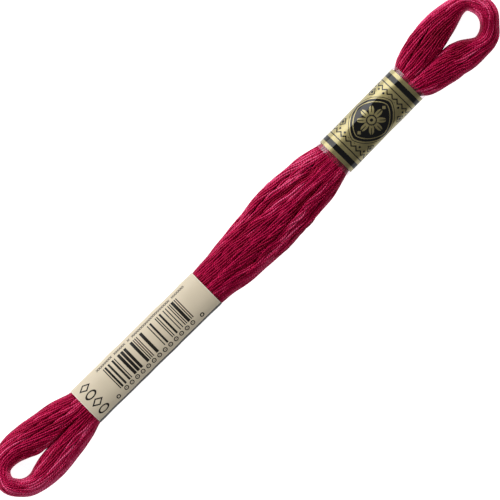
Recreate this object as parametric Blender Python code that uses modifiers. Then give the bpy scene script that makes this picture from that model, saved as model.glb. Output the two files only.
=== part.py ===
"""Skein of stranded embroidery floss, held by two wrap-around bands.

The floss is wound as one long flat loop. Two bands squeeze its two legs into one bundle, which bulges
between them and opens into an eye at each end. +X runs along the skein, from the end with the long paper
band to the end with the short film band, +Z is up, and the skein lies on z = 0. The origin is under the
centre of the skein's box. All sizes are in metres.
"""

import math

import bpy
import numpy as np

# How far the line between the two legs is drawn in at an eye, as a share of the half height,
# and how much of the half width the groove takes up.
GROOVE_AT_EYE = 0.30
GROOVE_REACH = 0.55

# The bundle between the two eyes, a row for each section.
# x: place along the skein. left, right: its edges at +Y and -Y. crown: its top.
# base: its underside, which is pressed flat where it would lie below the surface.
# groove: how far the line between the two legs is drawn in there.
BUNDLE_COLUMNS = ("x", "left", "right", "crown", "base", "groove")
BUNDLE = (
    (-0.0681, 0.00820, -0.00756, 0.0070, -0.0003, GROOVE_AT_EYE),
    (-0.0652, 0.00768, -0.00718, 0.0073, -0.0003, 0.20),
    (-0.0614, 0.00715, -0.00655, 0.0075, -0.0002, 0.10),
    (-0.0580, 0.00615, -0.00600, 0.0076, 0.0002, 0.04),
    (-0.0552, 0.00455, -0.00445, 0.00715, 0.00085, 0.00),
    (-0.0547, 0.00455, -0.00445, 0.00715, 0.00085, 0.00),
    (-0.0343, 0.00432, -0.00468, 0.00715, 0.00085, 0.00),
    (-0.0140, 0.00408, -0.00492, 0.00715, 0.00085, 0.00),
    (-0.0135, 0.00408, -0.00492, 0.00715, 0.00085, 0.00),
    (-0.0110, 0.00475, -0.00560, 0.0077, 0.0003, 0.00),
    (-0.0076, 0.00505, -0.00620, 0.0080, 0.0000, 0.00),
    (-0.0038, 0.00540, -0.00685, 0.0082, -0.0003, 0.03),
    (0.0001, 0.00580, -0.00705, 0.0083, -0.0004, 0.05),
    (0.0039, 0.00625, -0.00740, 0.0083, -0.0004, 0.07),
    (0.0077, 0.00675, -0.00745, 0.0084, -0.0004, 0.08),
    (0.0116, 0.00700, -0.00728, 0.0084, -0.0004, 0.08),
    (0.0154, 0.00690, -0.00710, 0.0083, -0.0004, 0.06),
    (0.0192, 0.00665, -0.00685, 0.0082, -0.0003, 0.04),
    (0.0226, 0.00635, -0.00640, 0.0080, -0.0001, 0.02),
    (0.0258, 0.00570, -0.00575, 0.0077, 0.0003, 0.00),
    (0.0280, 0.00450, -0.00450, 0.00715, 0.00085, 0.00),
    (0.0285, 0.00450, -0.00450, 0.00715, 0.00085, 0.00),
    (0.0424, 0.00460, -0.00440, 0.00715, 0.00085, 0.00),
    (0.0563, 0.00470, -0.00430, 0.00715, 0.00085, 0.00),
    (0.0568, 0.00470, -0.00430, 0.00715, 0.00085, 0.00),
    (0.0588, 0.00635, -0.00615, 0.0074, 0.0003, 0.06),
    (0.0615, 0.00745, -0.00720, 0.0074, -0.0001, 0.14),
    (0.0640, 0.00790, -0.00770, 0.0072, -0.0003, 0.22),
    (0.0661, 0.00820, -0.00795, 0.0070, -0.0003, GROOVE_AT_EYE),
)

# The turn of the floss round each eye, a row for each section, from the +Y leg to the -Y leg.
# outer_x, outer_y: the outer edge. inner_x, inner_y: the edge of the eye. crown: the top.
# The first and the last section are at the point where the eye closes.
LOOP_COLUMNS = ("outer_x", "outer_y", "inner_x", "inner_y", "crown")
LEFT_LOOP = (
    (-0.0681, 0.00820, -0.0681, -0.00036, 0.0070),
    (-0.0705, 0.00848, -0.0705, 0.00000, 0.0067),
    (-0.0729, 0.00865, -0.0729, 0.00108, 0.0065),
    (-0.0755, 0.00845, -0.0751, 0.00199, 0.0064),
    (-0.0784, 0.00775, -0.0770, 0.00226, 0.0064),
    (-0.0809, 0.00612, -0.0785, 0.00211, 0.0065),
    (-0.0826, 0.00362, -0.0794, 0.00139, 0.0066),
    (-0.0833, 0.00096, -0.0796, 0.00048, 0.0067),
    (-0.0829, -0.00156, -0.0791, -0.00024, 0.0067),
    (-0.0813, -0.00384, -0.0783, -0.00096, 0.0066),
    (-0.0791, -0.00576, -0.0770, -0.00151, 0.0065),
    (-0.0765, -0.00680, -0.0753, -0.00158, 0.0064),
    (-0.0736, -0.00735, -0.0734, -0.00106, 0.0065),
    (-0.0707, -0.00765, -0.0707, -0.00058, 0.0067),
    (-0.0681, -0.00756, -0.0681, -0.00036, 0.0070),
)
RIGHT_LOOP = (
    (0.0661, 0.00820, 0.0661, -0.00014, 0.0070),
    (0.0682, 0.00828, 0.0682, 0.00029, 0.0067),
    (0.0707, 0.00840, 0.0711, 0.00096, 0.0065),
    (0.0736, 0.00811, 0.0735, 0.00168, 0.0064),
    (0.0762, 0.00744, 0.0757, 0.00240, 0.0064),
    (0.0788, 0.00636, 0.0772, 0.00240, 0.0065),
    (0.0811, 0.00468, 0.0778, 0.00156, 0.0066),
    (0.0828, 0.00192, 0.0781, 0.00012, 0.0068),
    (0.0833, -0.00072, 0.0778, -0.00120, 0.0069),
    (0.0826, -0.00312, 0.0771, -0.00228, 0.0068),
    (0.0807, -0.00540, 0.0758, -0.00324, 0.0066),
    (0.0783, -0.00756, 0.0741, -0.00360, 0.0065),
    (0.0757, -0.00852, 0.0727, -0.00276, 0.0064),
    (0.0730, -0.00864, 0.0709, -0.00144, 0.0065),
    (0.0701, -0.00869, 0.0689, -0.00053, 0.0066),
    (0.0680, -0.00842, 0.0673, -0.00022, 0.0068),
    (0.0661, -0.00795, 0.0661, -0.00014, 0.0070),
)
LOOP_BASE = -0.0003
LOOP_ROW_LENGTH = 0.0026
LOOP_STATIONS_PER_ROW = 2
ROWS_TO_ROUND_LEG = 3.0

# Where each band lies: its two ends, its centre line's height, and the turn of its axis about +Z.
PAPER_BAND = {"start": -0.0547, "end": -0.0140, "y": -0.00018, "z": 0.0040, "turn": -0.66}
FILM_BAND = {"start": 0.0285, "end": 0.0563, "y": 0.00010, "z": 0.0040, "turn": 0.41}
BAND_WIDTH = 0.0103
BAND_HEIGHT = 0.0076
BAND_THICKNESS = 0.0003
BAND_SIDES = 56

# The turns of floss that show on the surface, as ridges that run along the bundle.
RIDGES_PER_LEG = 15
RIDGES_IN_EYE = 5
RIDGE_HEIGHT = 0.00024
RIDGE_HEIGHT_IN_BAND = 0.00004
RIDGE_FADE = 0.004

# The unevenness of the ridges: how far they wander sideways, as a share of a quarter of their pitch,
# and the waves in their place and height. rate: radians for each metre along the skein.
# step: radians from one foot or top to the next. share: the wave's size.
RIDGE_WANDER = 0.30
PLACE_WAVES = ((190, 2.1, 1.0), (430, 3.7, 0.6))
HEIGHT_WAVES = ((150, 1.7, 0.35), (0, 4.9, 0.25))

SECTION_POWER = 2.25
LEG_SPLIT = math.radians(132)
STATION_STEP = 0.0024
CURVE_SAMPLES = 160
SHARP_EDGE = math.radians(40)

FLOSS_COLOUR = (0.42, 0.004, 0.055, 1)
PAPER_COLOUR = (0.62, 0.57, 0.42, 1)
GOLD_COLOUR = (0.55, 0.44, 0.20, 1)


def clear_scene():
    for obj in list(bpy.data.objects):
        bpy.data.objects.remove(obj, do_unlink=True)


def new_material(name, colour, roughness, metallic=0.0):
    material = bpy.data.materials.new(name)
    material.use_nodes = True
    shader = material.node_tree.nodes["Principled BSDF"]
    shader.inputs["Base Color"].default_value = colour
    shader.inputs["Roughness"].default_value = roughness
    shader.inputs["Metallic"].default_value = metallic
    material.diffuse_color = colour
    return material


def smooth_curve(knots, values, at):
    """The values at places between the knots, on one smooth curve through all of them."""
    knots, values, at = (np.asarray(a, float) for a in (knots, values, at))
    slopes = np.gradient(values, knots)
    i = np.clip(np.searchsorted(knots, at, side="right") - 1, 0, len(knots) - 2)
    span = knots[i + 1] - knots[i]
    t = (at - knots[i]) / span
    return (
        (2 * t**3 - 3 * t**2 + 1) * values[i]
        + (t**3 - 2 * t**2 + t) * span * slopes[i]
        + (3 * t**2 - 2 * t**3) * values[i + 1]
        + (t**3 - t**2) * span * slopes[i + 1]
    )


def read_table(rows, columns, knots, at):
    """Each column of the table, by its name, at the places asked for."""
    values = np.array(rows)
    return {name: smooth_curve(knots, values[:, i], at) for i, name in enumerate(columns)}


def superellipse(angle):
    """A point of the unit oval: nearly an ellipse, a little fuller at its shoulders."""
    c, s = np.cos(angle), np.sin(angle)
    power = 2 / SECTION_POWER
    return np.sign(c) * np.abs(c) ** power, np.sign(s) * np.abs(s) ** power


def evenly_spaced(curve, shares):
    """Points of the curve at these shares of its length."""
    steps = np.linalg.norm(np.diff(curve, axis=0), axis=1)
    length = np.concatenate([[0], np.cumsum(steps)])
    return np.stack([np.interp(shares * length[-1], length, curve[:, i]) for i in (0, 1)], axis=1)


def waves(table, place, order, seed):
    """The sum of the table's waves for each foot and top of the ridges, at a place along the skein."""
    return sum(share * np.sin(place * rate + order * step + seed) for rate, step, share in table)


def ridge_shares(count, place, seed):
    """Shares of an arc for the feet and tops of its ridges, which wander a little along the skein."""
    order = np.arange(2 * count + 1)
    drift = waves(PLACE_WAVES, place, order, seed)
    drift[0] = drift[-1] = 0
    return (order + RIDGE_WANDER * drift / 2) / (2 * count)


def ridge_offsets(count, place, seed, height):
    """How far each foot and top stands off the arc. The tops are odd, and some turns stand prouder."""
    order = np.arange(2 * count + 1)
    uneven = 1 + waves(HEIGHT_WAVES, place, order, seed)
    offsets = np.where(order % 2 == 1, height, -height) * uneven
    offsets[0] = offsets[-1] = 0
    return offsets


def raised(arc, offsets):
    """The arc's points moved out along its normals. The arc runs so that outwards is on its right."""
    along = np.gradient(arc, axis=0)
    along /= np.linalg.norm(along, axis=1, keepdims=True)
    outwards = np.stack([along[:, 1], -along[:, 0]], axis=1)
    return arc + outwards * offsets[:, None]


def leg_arc(width, height, groove):
    """Half of the bundle's section, from its underside over its outer side to its top.

    The first number of a point is its distance from the middle line, the second its height from the centre.
    """
    angle = np.linspace(-math.pi / 2, math.pi / 2, CURVE_SAMPLES)
    out, up = superellipse(angle)
    nearness = np.clip(1 - out / GROOVE_REACH, 0, 1) ** 2
    return np.stack([out * width, up * (1 - groove * nearness) * height / 2], axis=1)


def loop_arcs(width, height, rounding):
    """The outer arc and the eye's arc of a leg's section, from the half bundle (0) to a full oval (1)."""
    half = leg_arc(width, height, GROOVE_AT_EYE)
    angle = np.linspace(-LEG_SPLIT, LEG_SPLIT, CURVE_SAMPLES)
    out, up = superellipse(angle)
    full = np.stack([(out + 1) * width / 2, up * height / 2], axis=1)
    outer = half + (full - half) * rounding
    angle = np.linspace(LEG_SPLIT, 2 * math.pi - LEG_SPLIT, CURVE_SAMPLES)
    out, up = superellipse(angle)
    full = np.stack([(out + 1) * width / 2, up * height / 2], axis=1)
    wall = np.stack([np.zeros(CURVE_SAMPLES), np.linspace(half[-1, 1], half[0, 1], CURVE_SAMPLES)], axis=1)
    inner = wall + (full - wall) * rounding
    return outer, inner


def pressed_flat(height):
    """Nothing lies below the surface that the skein rests on."""
    return max(height, 0.0)


def band_share(place):
    """1 inside a band, 0 well clear of both."""
    clear = min(
        max(band["start"] - place, place - band["end"], 0.0) for band in (PAPER_BAND, FILM_BAND)
    )
    return 1 - min(clear / RIDGE_FADE, 1.0)


def bundle_ring(section, place):
    """The points of the bundle's section: first the +Y half from below to the top, then the -Y half back."""
    middle_y = (section["left"] + section["right"]) / 2
    width = (section["left"] - section["right"]) / 2
    height = section["crown"] - section["base"]
    centre = (section["crown"] + section["base"]) / 2
    in_band = band_share(place)
    ridge = RIDGE_HEIGHT + (RIDGE_HEIGHT_IN_BAND - RIDGE_HEIGHT) * in_band
    ring = []
    for side, seed in ((1, 0.0), (-1, 2.6)):
        arc = leg_arc(width, height, section["groove"])
        arc = evenly_spaced(arc, ridge_shares(RIDGES_PER_LEG, place, seed))
        arc = raised(arc, ridge_offsets(RIDGES_PER_LEG, place, seed, ridge))
        points = [(place, middle_y + side * out, pressed_flat(centre + up)) for out, up in arc]
        ring += points if side > 0 else points[::-1][1:-1]
    return ring


class Surface:
    """The points and faces of one closed surface that is built ring by ring."""

    def __init__(self):
        self.points = []
        self.faces = []

    def add(self, points):
        first = len(self.points)
        self.points += [tuple(p) for p in points]
        return list(range(first, len(self.points)))

    def join(self, ring, following):
        """A strip of faces between two closed rings of equal count."""
        for i in range(len(ring)):
            j = (i + 1) % len(ring)
            self.faces.append((ring[i], ring[j], following[j], following[i]))

    def to_object(self, name):
        mesh = bpy.data.meshes.new(name)
        mesh.from_pydata(self.points, [], self.faces)
        return bpy.data.objects.new(name, mesh)


def bundle_places():
    """The stations along the bundle: every few millimetres where it shows, and only at the ends of a band."""
    places = [BUNDLE[0][0]]
    for row, following in zip(BUNDLE, BUNDLE[1:]):
        gap = following[0] - row[0]
        hidden = band_share((row[0] + following[0]) / 2) == 1
        steps = 1 if hidden else max(1, round(gap / STATION_STEP))
        places += [row[0] + gap * (i + 1) / steps for i in range(steps)]
    return places


def add_bundle(surface):
    """The loft from one eye to the other. Returns its first and last ring."""
    knots = [row[0] for row in BUNDLE]
    rings = []
    for place in bundle_places():
        section = read_table(BUNDLE, BUNDLE_COLUMNS, knots, place)
        rings.append(surface.add(bundle_ring(section, place)))
    for ring, following in zip(rings, rings[1:]):
        surface.join(ring, following)
    return rings[0], rings[-1]


def loop_ring(section, station, row_count):
    """The points of a leg's section: the outer arc from below to the top, then the eye's arc back down."""
    inner = np.array([section["inner_x"], section["inner_y"]])
    outer = np.array([section["outer_x"], section["outer_y"]])
    width = np.linalg.norm(outer - inner)
    direction = (outer - inner) / width
    height = section["crown"] - LOOP_BASE
    centre = (section["crown"] + LOOP_BASE) / 2
    from_end = min(station, row_count - station)
    rounding = min(from_end / ROWS_TO_ROUND_LEG, 1.0)
    rounding = rounding * rounding * (3 - 2 * rounding)
    growth = min(from_end, 1.0)

    place = station * LOOP_ROW_LENGTH
    outer_arc, inner_arc = loop_arcs(width, height, rounding)
    outer_arc = evenly_spaced(outer_arc, ridge_shares(RIDGES_PER_LEG, place, 1.3))
    outer_arc = raised(outer_arc, ridge_offsets(RIDGES_PER_LEG, place, 1.3, RIDGE_HEIGHT))
    inner_arc = evenly_spaced(inner_arc, ridge_shares(RIDGES_IN_EYE, place, 4.0))
    inner_arc = raised(inner_arc, ridge_offsets(RIDGES_IN_EYE, place, 4.0, RIDGE_HEIGHT * growth))
    ring = []
    for out, up in [*outer_arc, *inner_arc[1:-1]]:
        x, y = inner + direction * out
        ring.append((x, y, pressed_flat(centre + up)))
    return ring


def add_loop(surface, rows, bundle_ends, towards):
    """The loft round one eye. Its two ends share the bundle's last ring and the line where the eye closes.

    towards is -1 for the loop at -X and 1 for the loop at +X.
    """
    half = 2 * RIDGES_PER_LEG
    plus_half = bundle_ends[: half + 1]
    minus_half = [bundle_ends[0]] + bundle_ends[:half - 1:-1]
    crotch_x, crotch_y = rows[0][2], rows[0][3]
    low, high = surface.points[plus_half[0]][2], surface.points[plus_half[-1]][2]
    wall_heights = np.linspace(high, low, 2 * RIDGES_IN_EYE + 1)[1:-1]
    wall = surface.add([(crotch_x, crotch_y, z) for z in wall_heights])

    row_count = len(rows) - 1
    stations = np.arange(1, row_count * LOOP_STATIONS_PER_ROW) / LOOP_STATIONS_PER_ROW
    rings = [plus_half + wall]
    for station in stations:
        section = read_table(rows, LOOP_COLUMNS, np.arange(len(rows)), station)
        rings.append(surface.add(loop_ring(section, station, row_count)))
    rings.append(minus_half + wall)
    for ring, following in zip(rings, rings[1:]):
        if towards < 0:
            ring, following = following, ring
        surface.join(ring, following)


def shade_round(obj):
    obj.data.shade_smooth()
    obj.data.set_sharp_from_angle(angle=SHARP_EDGE)


def make_skein(material):
    """The wound floss as one solid: the bundle, and the turn round the eye at each of its ends."""
    surface = Surface()
    first, last = add_bundle(surface)
    add_loop(surface, LEFT_LOOP, first, -1)
    add_loop(surface, RIGHT_LOOP, last, 1)
    skein = surface.to_object("skein")
    skein.data.materials.append(material)
    shade_round(skein)
    return skein


def make_band(name, band, material):
    """A sleeve of sheet round the bundle: an open oval tube, thickened inwards."""
    bpy.ops.mesh.primitive_cylinder_add(vertices=BAND_SIDES, radius=1, depth=1, end_fill_type="NOTHING")
    obj = bpy.context.object
    obj.name = name
    length = band["end"] - band["start"]
    for vertex in obj.data.vertices:
        out, up = superellipse(math.atan2(vertex.co.y, vertex.co.x))
        vertex.co = (vertex.co.z * length, out * BAND_WIDTH / 2, up * BAND_HEIGHT / 2)
    obj.data.materials.append(material)
    obj.location = ((band["start"] + band["end"]) / 2, band["y"], band["z"])
    obj.rotation_euler = (0, 0, math.radians(band["turn"]))
    solidify = obj.modifiers.new("sheet", "SOLIDIFY")
    solidify.thickness = BAND_THICKNESS
    solidify.offset = -1
    shade_round(obj)
    return obj


def gather(parts, name):
    """Puts the parts in one collection, and in no other."""
    collection = bpy.data.collections.new(name)
    bpy.context.scene.collection.children.link(collection)
    for part in parts:
        for other in part.users_collection:
            other.objects.unlink(part)
        collection.objects.link(part)


def main():
    clear_scene()
    floss = new_material("floss", FLOSS_COLOUR, 0.55)
    paper = new_material("paper", PAPER_COLOUR, 0.5)
    gold_film = new_material("gold_film", GOLD_COLOUR, 0.3, metallic=0.8)
    parts = (
        make_skein(floss),
        make_band("paper_band", PAPER_BAND, paper),
        make_band("film_band", FILM_BAND, gold_film),
    )
    gather(parts, "embroidery_floss_skein")


main()
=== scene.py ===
"""The looks of a skein of embroidery floss: its six wound strands, its paper band and its film band.

The floss is one thread of six strands, wound in turns round the whole hank. The turns are laid in the
hank's sections, pushed apart until they lie beside each other, and split into their strands. These are
fanned out from the bands, and sunk along the valleys between the bunches of turns.
Sizes are in metres, unless they are said to be in millimetres. +X runs along the skein and +Z up.
"""

import math

import bpy
import numpy as np
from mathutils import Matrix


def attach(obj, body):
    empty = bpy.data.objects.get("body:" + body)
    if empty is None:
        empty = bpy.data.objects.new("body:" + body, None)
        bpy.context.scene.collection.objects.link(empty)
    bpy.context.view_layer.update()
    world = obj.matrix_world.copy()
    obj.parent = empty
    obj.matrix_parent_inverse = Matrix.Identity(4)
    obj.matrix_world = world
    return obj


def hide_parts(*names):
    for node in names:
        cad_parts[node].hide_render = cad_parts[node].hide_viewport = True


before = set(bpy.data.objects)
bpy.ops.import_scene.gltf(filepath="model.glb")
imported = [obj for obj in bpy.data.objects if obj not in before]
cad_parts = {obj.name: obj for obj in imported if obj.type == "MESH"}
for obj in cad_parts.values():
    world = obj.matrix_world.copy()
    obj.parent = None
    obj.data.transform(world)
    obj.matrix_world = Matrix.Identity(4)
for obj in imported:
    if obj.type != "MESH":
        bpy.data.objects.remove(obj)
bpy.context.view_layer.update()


def metres(rows):
    """A table that is written in millimetres, in metres."""
    return np.round(np.array(rows) / 1000, 7)


# ---- The hank's sections, close to its solid's ----

# The bundle between the two eyes, a row for each section.
# x: place along the skein. left, right: its edges at +Y and -Y. crown, base: its top and underside.
BUNDLE_COLUMNS = ("x", "left", "right", "crown", "base")
BUNDLE = metres((
    (-68.1, 8.20, -7.56, 7.0, -0.3),
    (-65.2, 7.68, -7.18, 7.3, -0.3),
    (-61.4, 6.95, -6.60, 7.5, -0.2),
    (-58.0, 6.05, -6.00, 7.6, 0.2),
    (-55.2, 5.12, -5.06, 7.6, 0.4),
    (-54.7, 5.04, -4.96, 7.6, 0.4),
    (-34.3, 4.80, -5.16, 7.6, 0.4),
    (-14.0, 4.57, -5.43, 7.6, 0.4),
    (-13.5, 4.62, -5.48, 7.7, 0.3),
    (-11.0, 4.85, -5.70, 7.8, 0.2),
    (-7.6, 5.05, -6.20, 8.0, 0.0),
    (-3.8, 5.40, -6.85, 8.2, -0.3),
    (0.1, 5.80, -7.05, 8.3, -0.4),
    (3.9, 6.25, -7.40, 8.3, -0.4),
    (7.7, 6.75, -7.45, 8.4, -0.4),
    (11.6, 7.00, -7.28, 8.4, -0.4),
    (15.4, 6.90, -7.10, 8.3, -0.4),
    (19.2, 6.65, -6.85, 8.2, -0.3),
    (22.6, 6.35, -6.40, 8.0, -0.1),
    (25.8, 5.70, -5.75, 7.7, 0.3),
    (28.0, 5.12, -5.14, 7.6, 0.4),
    (28.8, 4.90, -4.90, 7.5, 0.5),
    (42.4, 5.00, -4.80, 7.5, 0.5),
    (55.6, 5.08, -4.72, 7.5, 0.5),
    (56.2, 5.55, -5.30, 7.6, 0.4),
    (58.8, 6.70, -6.50, 7.4, 0.3),
    (61.5, 7.45, -7.20, 7.4, -0.1),
    (64.0, 7.90, -7.70, 7.2, -0.3),
    (66.1, 8.20, -7.95, 7.0, -0.3),
))

BUNDLE_ENDS = BUNDLE[[0, -1], 0]

# The turn round each eye, a row for each section, from the +Y leg to the -Y leg.
LOOP_COLUMNS = ("outer_x", "outer_y", "inner_x", "inner_y", "crown")
LEFT_LOOP = metres((
    (-68.1, 8.20, -68.1, -0.36, 7.0),
    (-70.5, 8.48, -70.5, 0.0, 6.7),
    (-72.9, 8.65, -72.9, 1.08, 6.5),
    (-75.5, 8.45, -75.1, 1.99, 6.4),
    (-78.4, 7.75, -77.0, 2.26, 6.5),
    (-80.9, 6.12, -78.2, 2.11, 6.8),
    (-82.6, 3.62, -78.9, 1.39, 7.2),
    (-83.3, 0.96, -79.1, 0.48, 7.4),
    (-82.9, -1.56, -78.6, -0.34, 7.3),
    (-81.3, -3.84, -77.9, -1.12, 7.0),
    (-79.1, -5.76, -76.7, -1.69, 6.7),
    (-76.5, -6.80, -75.2, -1.74, 6.5),
    (-73.6, -7.40, -73.4, -1.18, 6.5),
    (-70.7, -7.65, -70.7, -0.58, 6.7),
    (-68.1, -7.56, -68.1, -0.36, 7.0),
))
RIGHT_LOOP = metres((
    (66.1, 8.20, 66.1, -0.14, 7.0),
    (68.2, 8.28, 68.2, 0.29, 6.7),
    (70.7, 8.25, 71.1, 0.96, 6.5),
    (73.6, 7.85, 73.5, 1.68, 6.4),
    (76.2, 7.28, 75.7, 2.40, 6.4),
    (78.8, 6.36, 77.2, 2.40, 6.6),
    (81.0, 4.64, 77.8, 1.48, 6.8),
    (82.6, 1.91, 78.1, 0.06, 7.0),
    (83.1, -0.72, 77.8, -1.23, 7.1),
    (82.4, -3.10, 77.1, -2.30, 7.0),
    (80.5, -5.38, 75.8, -3.25, 6.7),
    (78.3, -7.56, 74.1, -3.60, 6.5),
    (75.7, -8.52, 72.7, -2.76, 6.4),
    (73.0, -8.64, 70.9, -1.44, 6.5),
    (70.1, -8.69, 68.9, -0.53, 6.6),
    (68.0, -8.42, 67.3, -0.22, 6.8),
    (66.1, -7.95, 66.1, -0.14, 7.0),
))
LOOP_BASE = -0.0003
# The length of floss between two rows of a loop.
LOOP_ROW_LENGTH = 0.0026
# How square the sections are, the share of its box that one fills, and, where a leg has little room on
# its inner side, the least distance of its middle from its inner edge and the least room there.
SECTION_POWER = 2.25
SECTION_SHARE = 0.8
LEAST_MIDDLE = 0.0003
LEAST_INNER_ROOM = 0.0002

# ---- The bands ----

PAPER_BAND = {"start": -0.0547, "end": -0.0140, "y": -0.00012, "z": 0.0040, "turn": -0.66}
FILM_BAND = {"start": 0.02886, "end": 0.05566, "y": 0.00005, "z": 0.0040, "turn": 0.41}
BAND_WIDTH = 0.0104
BAND_HEIGHT = 0.0076
BAND_SECTION_POWER = 2.15
SEAM_ANGLE = -65
LAP = 0.0035
LAP_RISE = 0.0012
LAP_GAP = 0.00002
OUTLINE_POINTS = 1441
NORMAL_REACH = 0.0002
SLEEVE_STATIONS = 150
PAPER_ROWS = 61
FILM_ROWS = 47
SHARP_EDGE = 50
PAPER_THICKNESS = 0.00012
FILM_THICKNESS = 0.00005
# How far the sheets stand off their ovals: size, periods along the band, periods round it, and phase.
PAPER_WAVES = ((0.000022, 5.3, 1, 0.4), (0.000022, -3.1, 2, 2.0), (0.000012, 8.7, 3, 1.1))
FILM_WAVES = ((0.000020, 1.4, 7, 0.4), (0.000015, -2.3, 11, 2.0), (0.000020, 3.1, 2, 1.1))

# The prints, in millimetres: x along the band from its middle, s round it from its crown.
FILM_PRINT = (-12.17, 12.40)
FILM_PRINT_MIDDLE = 0.11
STRIPES = ((9.89, 11.27), (8.62, 8.88))
LOZENGE = (6.5, 5.9)
LOZENGE_POWER = 1.5
ZIGZAG_X = 7.45
ZIGZAG_PITCH = 1.7
PAPER_CUT_X = 20.19
PANEL_S = -5.45
PANEL_BORDER_S = (-6.55, -6.35)
MARKS_X = -17.35
MARKS_PITCH = 4.6
BARS_X = (-11.45, 13.75)
BARS_S = (-2.8, 3.6)
BARS_MIDDLE = 1.15
BAR_MODULE = 0.264
TICKS_X = (-12.85, 16.7)
TICKS_S = 4.62
TICK_PITCH = 0.74
BEADS_X = (-10.9, 13.0)
BEADS_S = -3.75
BEAD_PITCH = 1.85

PAPER_LIGHT = (0.78, 0.685, 0.52)
PAPER_SHADE = (0.73, 0.635, 0.475)
PAPER_EDGE = (0.90, 0.85, 0.71)
GOLD_LIGHT = (0.52, 0.447, 0.215)
GOLD_SHADE = (0.44, 0.375, 0.16)
FILM_BLACK = (0.0035, 0.0035, 0.004)
PAPER_INK = (0.016, 0.014, 0.012)
PANEL_LIGHT = (0.048, 0.050, 0.060)
PANEL_SHADE = (0.030, 0.032, 0.040)
PANEL_BORDER = (0.45, 0.42, 0.34)

# ---- The floss ----

TURNS = 24
STRANDS = 6
STRAND_RADIUS = 0.00020
TUBE_RADIUS = 0.00025
# In centimetres, as the length in the UV map is.
PLY_LAY = 0.065
# The floss's colours from its darkest to its lightest; the tone that picks between them holds random
# changes, painted light and painted shade.
DEEP_FLOSS = (0.23, 0.0, 0.017)
MIDDLE_FLOSS = (0.60, 0.003, 0.080)
BRIGHT_FLOSS = (1.0, 0.15, 0.34)
# How much the tone of the floss (random, and painted light and shade), its fibres, its plies (painted shade
# in their grooves) and the drift of its dye lighten it.
TONE_LIGHT = 0.60
FIBRE_LIGHT = 0.30
PLY_PAINTED_SHADE = 0.35
DYE_LIGHT = 0.40
DARKENING = 0.445
CONTRAST = 1.6
# Its least roughness and what the drift adds, and the depth of its plies and of fibres as a share of it.
SMOOTHEST = 0.06
DRIFT_ROUGHNESS = 0.25
PLY_DEPTH = 0.00003
FIBRE_DEPTH = 0.2
# Random changes along the floss: stations between two random values, and their size.
SHEEN = (16, 0.3)
UNEVEN_TONE = (9, 0.3)
UNEVEN_WIDTH = (12, 1)
WIDTH_SHARE = 0.06
TONE_OF_TURN = (0.2, 0.8)
HIGHEST_TONE = 1.2
# Painted light and shade: soft spots where the floss's colour is made lighter or darker because it catches
# more or less light there: x, y, and reach along and across in millimetres, and the amount.
PAINTED_LIGHT_AND_SHADE_SPOTS = (
    (-81.5, 2, 4, 7, 0.25),
    (-75, 7.2, 11, 2, 0.2),
    (-69, 3.6, 9, 2, -0.16),
    (-72, -5.6, 11, 2.4, 0.52),
    (0, -6, 11, 1.6, 0.4),
    (7, 5.5, 8, 2, 0.15),
    (20, 5, 8, 2.2, 0.4),
    (14.5, 0.5, 5.5, 1.5, 0.25),
    (20, -3.5, 7, 2, -0.05),
    (70, 7.4, 11, 1.8, 0.3),
    (69, 3.2, 6.5, 2, -0.35),
    (71, -2.2, 4.5, 1.8, -0.4),
    (67, -6.2, 8, 2, 0.35),
    (81.8, 3, 3.4, 8, 0.8),
    (57.2, -0.4, 3.6, 7, 0.26),
    (-66.8, 0.1, 5, 1.2, 0.4),
    (-3, 0, 6, 1.8, -0.25),
    (75.5, -2.6, 2.6, 1.6, -0.35),
    (76.5, 6.2, 3.6, 1.8, 0.4),
    (22.5, 3.2, 5, 1.2, 0.25),
    (-59, -4.4, 4, 1.4, 0.3),
    (21.5, -6, 5, 1.2, 0.3),
    (-12, -4.2, 2, 1.4, 0.2),
)
# The long valleys between the bunches of turns where the bundle swells, and last a ridge: x, y and
# depth of points along each, in millimetres.
VALLEYS = (
    ((-9.8, 2.5, 0), (-4.4, 2.8, 0.11), (0.4, 3.04, 0.22), (5.2, 3.58, 0.34), (8.4, 3.78, 0.37),
     (11.6, 3.58, 0.47), (14.2, 2.88, 0.62), (18, 2.3, 0.65), (22.2, 1.66, 0.68), (26, 1.41, 0.53),
     (31, 1.38, 0)),
    ((-11, -2.6, 0), (-6, -2.8, 0.11), (-1.2, -3.84, 0.2), (2, -4.32, 0.31), (5.2, -4.32, 0.37),
     (8.4, -3.9, 0.37), (11.6, -3.04, 0.47), (14.8, -2.4, 0.53), (18, -2.14, 0.53), (21.2, -2.08, 0.47),
     (26, -1.9, 0.31), (31, -1.9, 0)),
    ((10, -0.75, 0), (13.2, -0.64, 0.19), (18, -0.22, 0.34), (22.8, -0.32, 0.4), (27, -0.32, 0.37),
     (31, -0.32, 0)),
    ((4, 0.1, 0), (6.5, 0.16, 0.19), (10.3, 0.32, 0.24), (13.2, 0.9, 0.17), (17, 1.4, 0)),
    ((-13, -1.15, 0), (-7.6, -1.3, 0.12), (0, -1.3, 0.17), (6, -1.3, 0.17), (11, -1.25, 0)),
    ((10, -6.05, 0), (13.8, -5.92, 0.15), (18, -5.38, 0.21), (21.2, -5.12, 0.21), (26, -4.7, 0.12),
     (29, -4.5, 0)),
    ((-12, -3.8, 0), (-9.2, -4.16, 0.11), (-4.4, -5.28, 0.19), (1.4, -6.56, 0.16), (4, -6.8, 0)),
    ((3, 5, 0), (8, 5.05, -0.19), (12, 4.9, -0.25), (16, 4.3, -0.2), (21, 3.3, 0)),
)
# How far across a valley reaches, how far off its shoulders lie, and, for each metre that one is deep, the
# change of tone that paints shade into the valley and light onto its shoulders.
VALLEY_REACH = 0.00058
SHOULDER = 0.00125
VALLEY_SHADE = 1150
SHOULDER_LIGHT = 400
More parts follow.
